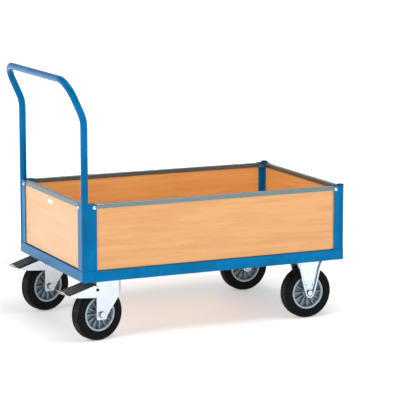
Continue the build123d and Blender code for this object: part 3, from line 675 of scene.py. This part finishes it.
# ------------------------------------------------------------------ tyres
# Tyres are solid black rubber, moulded on to the rim bed: fine rings turned in the mould on each
# side, and a tread that goes dusty and dull where it rolls.
def tyre_rubber(name, axle, turn):
    """Black rubber with mould rings on its sides and a dusty, duller tread."""
    made, tree, shader, place, edge, wear = begin_material(name)
    edge.inputs["Width"].default_value = 0.001
    wear.inputs["Cloud scale"].default_value = 22.0
    wear.inputs["Grain scale"].default_value = 900.0
    tread_start, tread_end, ring_pitch, ring_height = 0.0955, 0.0985, 0.0055, 0.00025
    deep_black, worn_black, dust_grey = (0.0015, 0.002, 0.003), (0.004, 0.005, 0.006), (0.09, 0.085, 0.08)
    radius = axle_distance(tree, place, axle, turn)
    tread = add_steps(tree, radius, tread_start, tread_end)
    dust = add_math(tree, "MULTIPLY", tread, add_steps(tree, wear.outputs["Cloud"], 0.35, 0.7))
    rubber = add_blend(tree, wear.outputs["Cloud"], deep_black, worn_black)
    dusty = add_blend(tree, add_math(tree, "MULTIPLY", dust, 0.3), rubber, dust_grey)
    gloss = add_math(tree, "MULTIPLY_ADD", wear.outputs["Cloud"], 0.2, 0.38)
    roughness = add_math(tree, "MULTIPLY_ADD", tread, 0.2, gloss)
    ring_phase = add_math(tree, "MULTIPLY", radius, math.tau / ring_pitch)
    rings = add_steps(tree, add_math(tree, "SINE", ring_phase), 0.55, 0.95)
    ringed = add_relief(tree, rings, ring_height, edge.outputs["Normal"])
    normal = add_relief(tree, wear.outputs["Grain"], 0.00006, ringed)
    finish_shader(tree, shader, dusty, roughness, normal)
    shader.inputs["Specular IOR Level"].default_value = 0.08
    return made


for name in frame["nodes"]:
    if name.endswith("_tyre"):
        dress(tyre_rubber(f"rubber of {name}", *wheel_axle(name)), name)

# ------------------------------------------------------------------ pedals and post plugs
# Brake pedals are black plastic with moulded grip bars, clipped over the lever, and the bars'
# edges are pale: partly worn by shoes, partly a painted highlight. The plugs in the front posts
# are duller and pushed in by hand.
def black_plastic(name, grain_scale, gloss, edge_width, edge_scuff_and_highlight):
    """Grained black plastic whose edges are painted pale by a given share, as wear and as a highlight."""
    made, tree, shader, _, edge, wear = begin_material(name)
    edge.inputs["Width"].default_value = edge_width
    wear.inputs["Cloud scale"].default_value = 35.0
    wear.inputs["Grain scale"].default_value = grain_scale
    black = add_blend(tree, wear.outputs["Cloud"], (0.007, 0.0075, 0.0085), (0.017, 0.018, 0.020))
    # The pale edge colour is partly wear and partly a painted highlight.
    scuff_and_highlight = add_math(tree, "MULTIPLY", edge.outputs["Edge"], edge_scuff_and_highlight)
    scuffed_and_highlighted = add_blend(tree, scuff_and_highlight, black, (0.42, 0.44, 0.46))
    roughness = add_math(tree, "MULTIPLY_ADD", wear.outputs["Cloud"], 0.22, gloss)
    normal = add_relief(tree, wear.outputs["Grain"], 0.0001, edge.outputs["Normal"])
    finish_shader(tree, shader, scuffed_and_highlighted, roughness, normal)
    shader.inputs["Specular IOR Level"].default_value = 0.25
    return made


pedal_black = black_plastic("black pedal plastic", 900.0, 0.30, 0.0018, 1.0)
plug_black = black_plastic("black plug plastic", 1200.0, 0.38, 0.0008, 0.1)
dress(pedal_black, *[name for name in frame["nodes"] if name.endswith("brake_pedal")])
dress(plug_black, "post_plugs")

# ------------------------------------------------------------------ floor, light and camera
# A plain pale studio floor that glows as painted light, weakly near the object so that a painted
# shade lies round it and fully away from it; large soft lights high on the left and overhead, a weak
# one in front, and a white surround that dims overhead.
floor_mesh = bpy.data.meshes.new("floor")
floor_half, floor_z = 60.0, size_at_load[0][2]
floor_signs = ((-1, -1), (1, -1), (1, 1), (-1, 1))
floor_corners = [(floor_half * x, floor_half * y) for x, y in floor_signs]
floor_mesh.from_pydata([(x, y, floor_z) for x, y in floor_corners], [], [(0, 1, 2, 3)])
floor = bpy.data.objects.new("floor", floor_mesh)
bpy.context.scene.collection.objects.link(floor)
floor_paint = bpy.data.materials.new("pale studio floor")
floor_paint.use_nodes = True
floor_shader = floor_paint.node_tree.nodes["Principled BSDF"]
floor_shader.inputs["Base Color"].default_value = (0.93, 0.93, 0.93, 1.0)
floor_shader.inputs["Roughness"].default_value = 0.55
floor_shader.inputs["Specular IOR Level"].default_value = 0.2
floor_shader.inputs["Emission Color"].default_value = (1.0, 1.0, 1.0, 1.0)
floor_place = floor_paint.node_tree.nodes.new("ShaderNodeTexCoord")
floor_oval = floor_paint.node_tree.nodes.new("ShaderNodeMapping")
floor_oval.inputs["Location"].default_value = (0.0, -0.15, 0.0)
floor_oval.inputs["Scale"].default_value = (0.72, 1.0, 1.0)
floor_paint.node_tree.links.new(floor_place.outputs["Object"], floor_oval.inputs["Vector"])
floor_reach = floor_paint.node_tree.nodes.new("ShaderNodeVectorMath")
floor_reach.operation = "LENGTH"
floor_paint.node_tree.links.new(floor_oval.outputs["Vector"], floor_reach.inputs[0])
# Painted light and shade: the glow rises from weak near the object to full away from it.
floor_glow = add_steps(floor_paint.node_tree, floor_reach.outputs["Value"], 0.35, 1.9, 0.38, 1.0)
floor_paint.node_tree.links.new(floor_glow, floor_shader.inputs["Emission Strength"])
floor_mesh.materials.append(floor_paint)

world = bpy.data.worlds.new("white surround")
world.use_nodes = True
world.node_tree.nodes["Background"].inputs["Color"].default_value = (1.0, 1.0, 1.0, 1.0)
sky_place = world.node_tree.nodes.new("ShaderNodeTexCoord")
sky_height = world.node_tree.nodes.new("ShaderNodeSeparateXYZ")
world.node_tree.links.new(sky_place.outputs["Generated"], sky_height.inputs["Vector"])
sky_glow = add_steps(world.node_tree, sky_height.outputs["Z"], 0.08, 0.42, 1.35, 0.24)
world.node_tree.links.new(sky_glow, world.node_tree.nodes["Background"].inputs["Strength"])
bpy.context.scene.world = world
bpy.context.scene.view_settings.view_transform = "Standard"

light_aim = Vector((0.0, 0.0, 0.35))
for name, position, width, power in (
    ("key light", (-4.6, -1.2, 3.4), 3.0, 98.0),
    ("front light", (0.6, -5.5, 3.6), 3.0, 9.0),
    ("top light", (0.4, -1.4, 4.5), 2.4, 100.0),
):
    lamp = bpy.data.lights.new(name, "AREA")
    lamp.shape = "SQUARE"
    lamp.size = width
    lamp.energy = power
    lamp_object = bpy.data.objects.new(name, lamp)
    lamp_object.location = position
    aim = light_aim - Vector(position)
    lamp_object.rotation_euler = aim.to_track_quat("-Z", "Y").to_euler()
    bpy.context.scene.collection.objects.link(lamp_object)

camera = bpy.data.cameras.new("camera")
camera.lens = 181.55
camera.clip_end = 200.0
camera_object = bpy.data.objects.new("camera", camera)
camera_dip, camera_turn = 9.709, -24.699
camera_object.location = (-3.1102, -7.0390, 1.7649)
camera_object.rotation_euler = (math.radians(90.0 - camera_dip), 0.0, math.radians(camera_turn))
bpy.context.scene.collection.objects.link(camera_object)
bpy.context.scene.camera = camera_object
